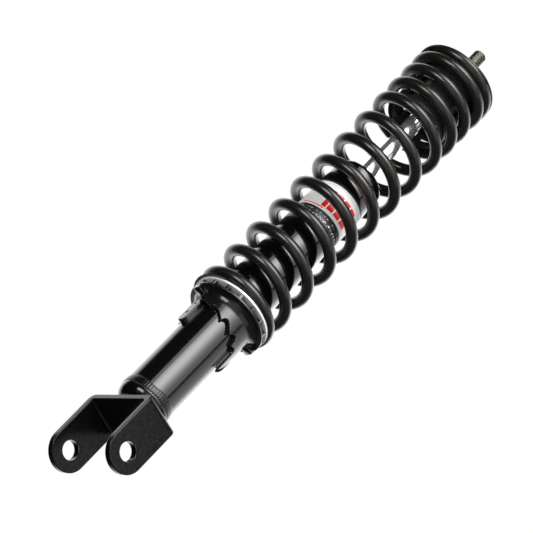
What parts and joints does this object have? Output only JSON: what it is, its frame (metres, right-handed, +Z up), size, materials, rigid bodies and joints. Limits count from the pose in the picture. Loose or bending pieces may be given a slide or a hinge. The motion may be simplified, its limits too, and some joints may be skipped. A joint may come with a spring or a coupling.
{
  "type": "coil-over strut",
  "caption": "Coil-over strut with a bent-plate clevis at the foot, a stepped preload collar, a progressive coil spring round a twin-tube damper, and a threaded stud at the top.",
  "frame": {"origin": "centre of the clevis cross-bore", "axes": "+X along the clevis cross-bore, +Z up the strut axis from the clevis to the threaded stud"},
  "size_m": [0.0538, 0.0526, 0.3731],
  "materials": {
    "gloss_black_paint": "gloss black paint",
    "tube_black_paint": "gloss black paint with a soft orange peel",
    "spring_black": "semi-gloss black powder coat",
    "black_zinc": "satin black zinc",
    "bright_zinc": "bright zinc plate",
    "chrome_rod": "hard chrome",
    "black_plastic": "satin moulded plastic",
    "bump_rubber": "microcellular elastomer",
    "seal_rubber": "moulded rubber",
    "label_print": "printed film",
    "plain_steel": "machined steel",
    "sintered_steel": "sintered metal",
    "bronze_lining": "lined bronze",
    "ring_plastic": "filled low-friction plastic"
  },
  "bodies": {
    "damper": {"clevis_fork": "gloss_black_paint", "tube_base_cup": "gloss_black_paint", "clevis_weld_bead": "gloss_black_paint", "seam_weld_bead": "gloss_black_paint", "damper_tube": "tube_black_paint", "preload_lugs": "tube_black_paint", "label_band": "label_print", "pressure_tube": "plain_steel", "base_valve": "sintered_steel", "base_valve_disc": "plain_steel", "base_valve_rivet": "plain_steel", "rod_guide": "sintered_steel", "guide_bush": "bronze_lining", "oil_seal": "seal_rubber", "gland_cap": "plain_steel", "dust_wiper": "seal_rubber", "coil_spring": "spring_black"},
    "washer": {"thrust_washer": "bright_zinc"},
    "collar": {"cam_collar": "black_zinc"},
    "rod": {"piston_rod": "chrome_rod", "piston": "sintered_steel", "piston_ring": "ring_plastic", "rebound_shims": "plain_steel", "compression_shims": "plain_steel", "piston_nut": "plain_steel", "rebound_stop": "seal_rubber", "rebound_stop_clip": "plain_steel", "bump_stop": "bump_rubber", "bump_stop_washer": "plain_steel", "spring_guide_sleeve": "black_plastic", "upper_spring_seat": "gloss_black_paint"}
  },
  "joints": [
    {"name": "rod_slide", "type": "slide", "parent": "damper", "child": "rod", "axis": [0, 0, -1], "range_m": [0, 0.06], "stiffness_N_per_m": 18000, "springref_m": -0.008, "deforming": ["coil_spring"]},
    {"name": "preload_lift", "type": "slide", "parent": "damper", "child": "washer", "axis": [0, 0, 1], "range_m": [0, 0.0117], "deforming": ["coil_spring"]},
    {"name": "preload_turn", "type": "hinge", "parent": "washer", "child": "collar", "pos_m": [0, 0, 0.1177], "axis": [0, 0, -1], "range_deg": [0, 116]}
  ],
  "couplings": [
    {"joint": "preload_lift", "follows": "preload_turn", "m_per_rad": 0.0057296}
  ]
}
